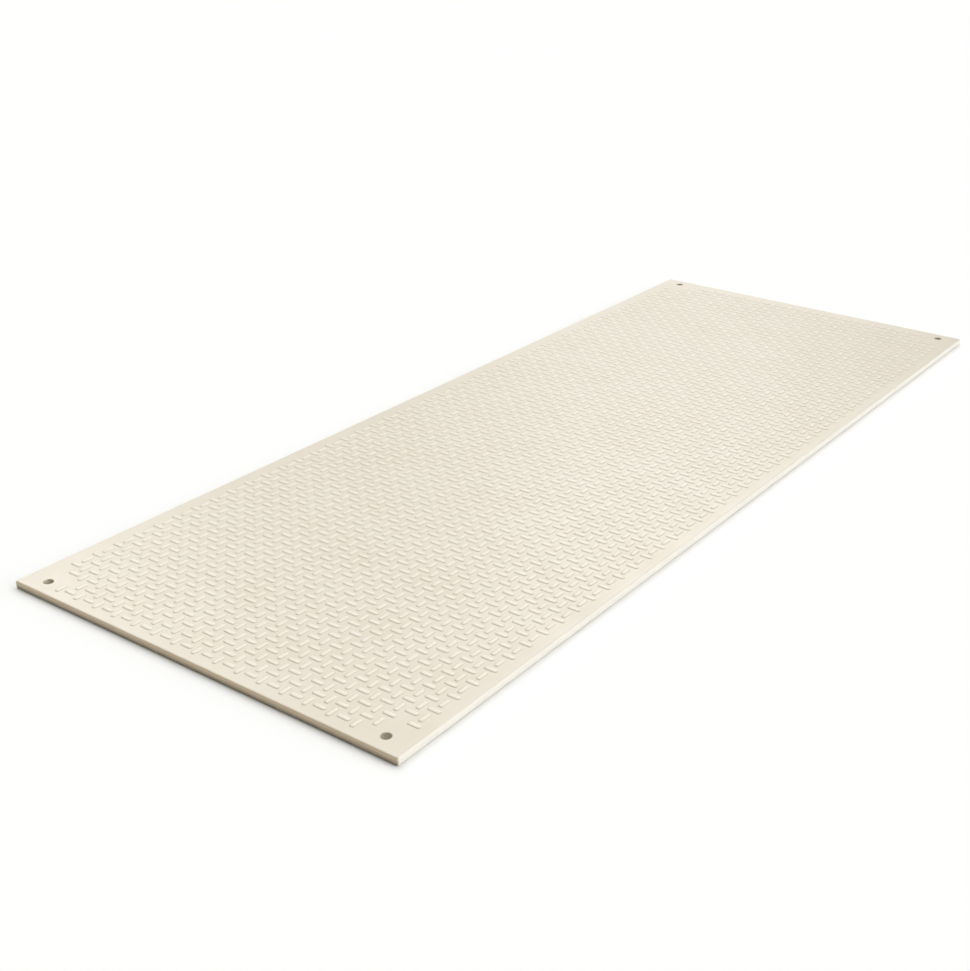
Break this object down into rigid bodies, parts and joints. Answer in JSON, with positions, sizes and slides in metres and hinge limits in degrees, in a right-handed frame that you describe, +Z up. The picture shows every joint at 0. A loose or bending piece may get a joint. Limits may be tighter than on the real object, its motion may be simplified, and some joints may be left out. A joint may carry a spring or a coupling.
{
  "type": "ground protection mat",
  "caption": "Long flat moulded plastic board with plain edges, a raised non-slip tread of short bars on top, and a round hole near each corner for linking or pegging it down.",
  "frame": {"origin": "middle of the board's length and width, on its underside, where it lies on the ground", "axes": "+X along the length, +Y across the width, +Z up out of the tread"},
  "size_m": [2.4384, 0.9144, 0.015],
  "materials": {
    "moulded_plastic": "natural ivory high-density polyethylene, moulded, with a soft satin sheen"
  },
  "bodies": {
    "root": {"mat_board": "moulded_plastic"}
  },
  "joints": []
}
